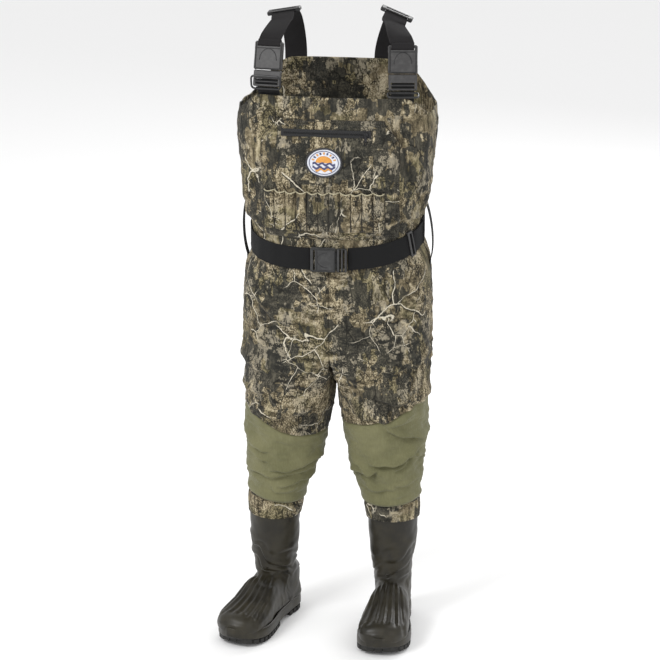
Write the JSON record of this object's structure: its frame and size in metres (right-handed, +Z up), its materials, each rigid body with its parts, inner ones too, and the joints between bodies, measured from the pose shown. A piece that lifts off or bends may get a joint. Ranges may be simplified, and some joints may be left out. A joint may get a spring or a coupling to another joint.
{
  "type": "chest waders",
  "caption": "Chest waders: camouflage bib and trousers with olive knees, bonded rubber boots, belt and buckled suspenders.",
  "frame": {"origin": "middle of the footprint box, on the ground under the boots", "axes": "+Z up, -Y the way the wearer faces, +X to the wearer's left"},
  "size_m": [0.4728, 0.3896, 1.4416],
  "materials": {
    "camo_cloth": "matte woven polyester printed in a bark and leaf camouflage",
    "olive_cloth": "matte plain nylon, olive",
    "boot_rubber": "satin moulded rubber, dark olive brown",
    "outsole_rubber": "matte lugged rubber",
    "boot_lining": "brushed lining",
    "insole_foam": "foam insole",
    "steel": "brushed",
    "zip_black": "matt black zip",
    "badge_weave": "embroidered badge, white field in a black border",
    "elastic": "ribbed elastic webbing, black",
    "webbing": "woven nylon webbing, black",
    "moulded_plastic": "satin moulded acetal, dark grey"
  },
  "bodies": {
    "garment": {"anchor_strap_left": "webbing", "anchor_strap_right": "webbing", "back_panel": "camo_cloth", "back_strap_patch": "camo_cloth", "back_trouser_left": "camo_cloth", "back_trouser_right": "camo_cloth", "badge": "badge_weave", "belt_buckle_socket": "moulded_plastic", "belt_free_run": "webbing", "belt_loop_left": "webbing", "belt_loop_right": "webbing", "belt_webbing": "webbing", "boot_liner_left": "boot_lining", "boot_liner_right": "boot_lining", "boot_upper_left": "boot_rubber", "boot_upper_right": "boot_rubber", "buckle_left_plug": "moulded_plastic", "buckle_right_plug": "moulded_plastic", "calf_left": "olive_cloth", "calf_right": "olive_cloth", "chest_pocket": "camo_cloth", "cuff_left": "camo_cloth", "cuff_right": "camo_cloth", "front_bib": "camo_cloth", "front_trouser_left": "camo_cloth", "front_trouser_right": "camo_cloth", "insole_left": "insole_foam", "insole_right": "insole_foam", "knee_left": "olive_cloth", "knee_right": "olive_cloth", "outsole_left": "outsole_rubber", "outsole_right": "outsole_rubber", "shank_left": "steel", "shank_right": "steel", "shell_loops": "camo_cloth", "strap_back_left": "elastic", "strap_back_right": "elastic", "strap_front_left": "elastic", "strap_front_right": "elastic", "zip_tape": "zip_black"},
    "zip_slider": {"zip_slider": "zip_black"},
    "zip_pull": {"zip_pull": "zip_black"},
    "belt_plug": {"belt_buckle_plug": "moulded_plastic"},
    "belt_prong_a": {"belt_buckle_prong_a": "moulded_plastic"},
    "belt_prong_b": {"belt_buckle_prong_b": "moulded_plastic"},
    "belt_adjuster": {"belt_adjuster": "moulded_plastic"},
    "socket_left": {"buckle_left_socket": "moulded_plastic"},
    "prong_left_a": {"buckle_left_prong_a": "moulded_plastic"},
    "prong_left_b": {"buckle_left_prong_b": "moulded_plastic"},
    "shoulder_slider_left": {"shoulder_slider_left": "moulded_plastic"},
    "accessory_ring_left": {"accessory_ring_left": "moulded_plastic"},
    "socket_right": {"buckle_right_socket": "moulded_plastic"},
    "prong_right_a": {"buckle_right_prong_a": "moulded_plastic"},
    "prong_right_b": {"buckle_right_prong_b": "moulded_plastic"},
    "shoulder_slider_right": {"shoulder_slider_right": "moulded_plastic"},
    "accessory_ring_right": {"accessory_ring_right": "moulded_plastic"}
  },
  "joints": [
    {"name": "zip_slide", "type": "hinge", "parent": "garment", "child": "zip_slider", "pos_m": [0.00844, 1.33502, 1.187], "axis": [0, 0, 1], "range_deg": [-6.73, 0]},
    {"name": "zip_pull_swing", "type": "hinge", "parent": "zip_slider", "child": "zip_pull", "pos_m": [0.09597, -0.1021, 1.184], "axis": [0.9982, 0.0608, 0], "range_deg": [-100, 0]},
    {"name": "belt_release", "type": "slide", "parent": "garment", "child": "belt_plug", "axis": [1, 0, 0], "range_m": [0, 0.045], "deforming": ["belt_free_run"]},
    {"name": "belt_prong_a_squeeze", "type": "hinge", "parent": "belt_plug", "child": "belt_prong_a", "pos_m": [0.03094, -0.09982, 0.91535], "axis": [0, -1, 0], "range_deg": [0, 7], "stiffness_Nm_per_rad": 0.05},
    {"name": "belt_prong_b_squeeze", "type": "hinge", "parent": "belt_plug", "child": "belt_prong_b", "pos_m": [0.03094, -0.09982, 0.89065], "axis": [0, 1, 0], "range_deg": [0, 7], "stiffness_Nm_per_rad": 0.05},
    {"name": "belt_adjuster_slide", "type": "hinge", "parent": "garment", "child": "belt_adjuster", "pos_m": [0.09927, 0.02476, 0.93458], "axis": [-0.1122, -0.2448, 0.9631], "range_deg": [-5, 1.8]},
    {"name": "buckle_left_release", "type": "slide", "parent": "garment", "child": "socket_left", "axis": [-0.036, 0.2563, 0.9659], "range_m": [0, 0.045], "deforming": ["strap_front_left"]},
    {"name": "buckle_left_prong_a_squeeze", "type": "hinge", "parent": "garment", "child": "prong_left_a", "pos_m": [0.18762, -0.05899, 1.31648], "axis": [0.1344, -0.9565, 0.2588], "range_deg": [0, 7], "stiffness_Nm_per_rad": 0.05},
    {"name": "buckle_left_prong_b_squeeze", "type": "hinge", "parent": "garment", "child": "prong_left_b", "pos_m": [0.15524, -0.06354, 1.31648], "axis": [-0.1344, 0.9565, -0.2588], "range_deg": [0, 7], "stiffness_Nm_per_rad": 0.05},
    {"name": "shoulder_slider_left_slide", "type": "hinge", "parent": "garment", "child": "shoulder_slider_left", "pos_m": [0.10898, 0.0586, 1.3377], "axis": [0.9272, 0, -0.3746], "range_deg": [-14, 14]},
    {"name": "accessory_ring_left_swing", "type": "hinge", "parent": "garment", "child": "accessory_ring_left", "pos_m": [0.17363, -0.07693, 1.27755], "axis": [0.9903, 0.1392, 0], "range_deg": [-90, 60]},
    {"name": "buckle_right_release", "type": "slide", "parent": "garment", "child": "socket_right", "axis": [0.036, 0.2563, 0.9659], "range_m": [0, 0.045], "deforming": ["strap_front_right"]},
    {"name": "buckle_right_prong_a_squeeze", "type": "hinge", "parent": "garment", "child": "prong_right_a", "pos_m": [-0.10735, -0.06354, 1.31648], "axis": [-0.1344, -0.9565, 0.2588], "range_deg": [0, 7], "stiffness_Nm_per_rad": 0.05},
    {"name": "buckle_right_prong_b_squeeze", "type": "hinge", "parent": "garment", "child": "prong_right_b", "pos_m": [-0.13973, -0.05899, 1.31648], "axis": [0.1344, 0.9565, -0.2588], "range_deg": [0, 7], "stiffness_Nm_per_rad": 0.05},
    {"name": "shoulder_slider_right_slide", "type": "hinge", "parent": "garment", "child": "shoulder_slider_right", "pos_m": [-0.08958, 0.0586, 1.3324], "axis": [0.9848, 0, 0.1736], "range_deg": [-14, 14]},
    {"name": "accessory_ring_right_swing", "type": "hinge", "parent": "garment", "child": "accessory_ring_right", "pos_m": [-0.12574, -0.07693, 1.27755], "axis": [0.9903, -0.1392, 0], "range_deg": [0, 150]}
  ],
  "couplings": [
    {"joint": "belt_prong_b_squeeze", "follows": "belt_prong_a_squeeze", "ratio": 1},
    {"joint": "buckle_left_prong_b_squeeze", "follows": "buckle_left_prong_a_squeeze", "ratio": 1},
    {"joint": "buckle_right_prong_b_squeeze", "follows": "buckle_right_prong_a_squeeze", "ratio": 1}
  ]
}
